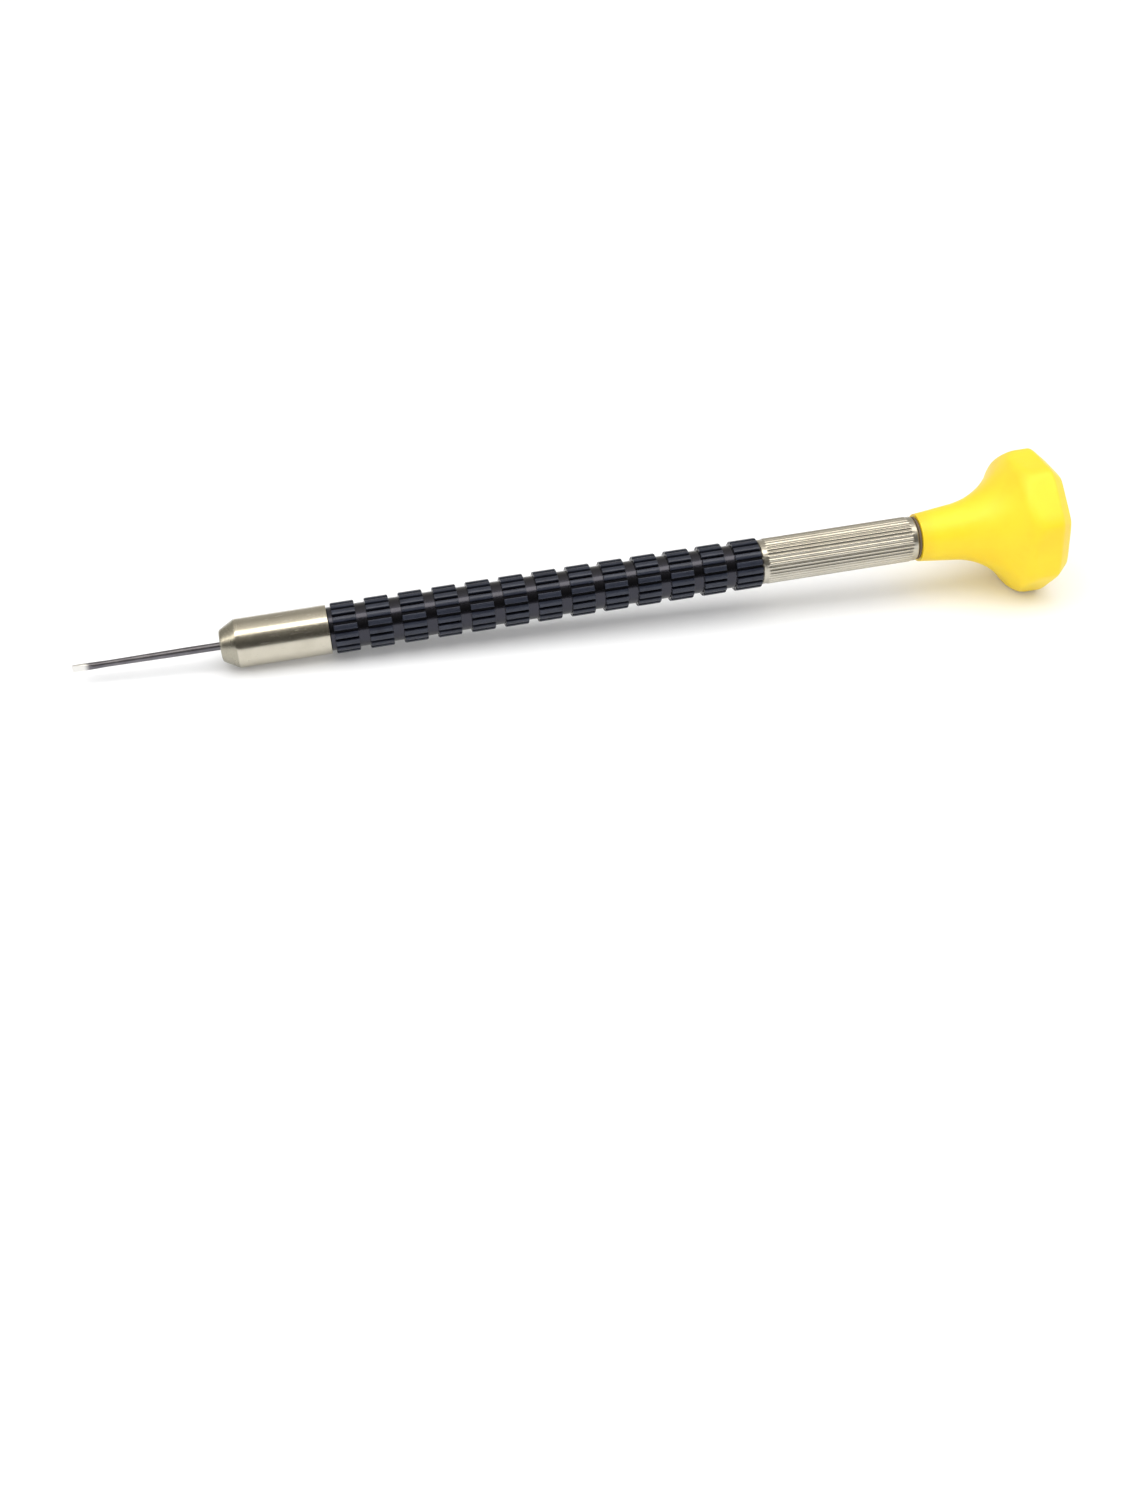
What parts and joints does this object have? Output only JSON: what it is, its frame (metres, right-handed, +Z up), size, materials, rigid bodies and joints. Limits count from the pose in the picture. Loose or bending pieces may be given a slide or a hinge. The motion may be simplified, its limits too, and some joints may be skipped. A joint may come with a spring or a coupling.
{
  "type": "precision screwdriver",
  "caption": "Precision screwdriver with a fine flat blade, ringed and slotted grip, fluted plated barrel, and a trumpet-shaped swivel head whose rim flats stop it rolling.",
  "frame": {"origin": "on the plane the tool lies on, under the middle of its length", "axes": "+Z up, +X from the blade's tip towards the head, in the vertical plane of the tool's axis"},
  "size_m": [0.111, 0.0154, 0.0156],
  "materials": {
    "blade_steel": "ground",
    "nickel_nose": "polished nickel plate",
    "black_grip": "satin black anodised",
    "nickel_barrel": "fluted nickel plate",
    "yellow_head": "moulded, satin",
    "black_washer": "plain",
    "brass": "turned",
    "small_steel": "turned",
    "dark_steel": "blackened"
  },
  "bodies": {
    "body": {"nose": "nickel_nose", "core_rod": "small_steel", "grip_sleeve": "black_grip", "rear_barrel": "nickel_barrel", "pivot_stud": "small_steel", "head_washer": "black_washer", "retaining_ring": "dark_steel"},
    "head": {"swivel_head": "yellow_head", "bearing_bush": "brass", "thrust_ball": "small_steel"},
    "blade": {"blade": "blade_steel"},
    "clamp_screw": {"clamp_screw": "dark_steel"}
  },
  "joints": [
    {"name": "head_swivel", "type": "hinge", "parent": "body", "child": "head", "pos_m": [0.03927, 0, 0.00706], "axis": [0.9984, 0, 0.0565], "continuous": true},
    {"name": "blade_draw", "type": "slide", "parent": "body", "child": "blade", "axis": [-0.9984, 0, -0.0565], "range_m": [0, 0.0063]},
    {"name": "clamp_turn", "type": "hinge", "parent": "body", "child": "clamp_screw", "pos_m": [-0.03541, 0, 0.00283], "axis": [0, 1, 0], "range_deg": [0, 360]}
  ]
}
